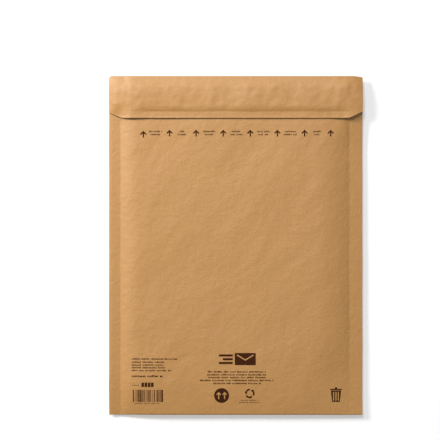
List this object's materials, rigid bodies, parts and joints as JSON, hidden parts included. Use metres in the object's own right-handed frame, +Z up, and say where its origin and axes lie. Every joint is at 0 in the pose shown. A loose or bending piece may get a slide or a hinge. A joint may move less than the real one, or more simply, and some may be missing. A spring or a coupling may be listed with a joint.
{
  "type": "padded envelope",
  "caption": "Flat padded kraft paper envelope on its back: glued side seams, pillowed body, folded-down flap with cut corners, plain brown print.",
  "frame": {"origin": "on the surface the envelope lies on, under the middle of its folded outline", "axes": "+Y along its length towards the flap's fold, +X to the right of the printed front, +Z up, out of the printed front"},
  "size_m": [0.2552, 0.341, 0.0113],
  "materials": {
    "kraft_paper": "matt, slightly smooth",
    "padding_paper": "soft, fibrous",
    "liner_paper": "matt",
    "glue": "tacky, half gloss",
    "release_paper": "smooth, waxy",
    "print_ink": "matt ink"
  },
  "bodies": {
    "root": {"outer_sheet": "kraft_paper", "padding": "padding_paper", "inner_liner": "liner_paper", "seam_glue_left": "glue", "seam_glue_right": "glue", "flap_adhesive": "glue", "release_strip": "release_paper", "opening_arrow_1": "print_ink", "opening_arrow_2": "print_ink", "opening_arrow_3": "print_ink", "opening_arrow_4": "print_ink", "opening_arrow_5": "print_ink", "opening_arrow_6": "print_ink", "opening_arrow_7": "print_ink", "opening_arrow_8": "print_ink", "note_line_1": "print_ink", "note_line_2": "print_ink", "note_line_3": "print_ink", "note_line_4": "print_ink", "note_line_5": "print_ink", "size_line": "print_ink", "barcode": "print_ink", "legend_line_1": "print_ink", "legend_line_2": "print_ink", "legend_line_3": "print_ink", "legend_line_4": "print_ink", "legend_line_5": "print_ink", "letter_sign": "print_ink", "speed_line_1": "print_ink", "speed_line_2": "print_ink", "speed_line_3": "print_ink", "upright_badge": "print_ink", "loop_arrow_1": "print_ink", "loop_arrow_2": "print_ink", "loop_arrow_3": "print_ink", "loop_note_1": "print_ink", "loop_note_2": "print_ink", "bin_sign": "print_ink"}
  },
  "joints": []
}
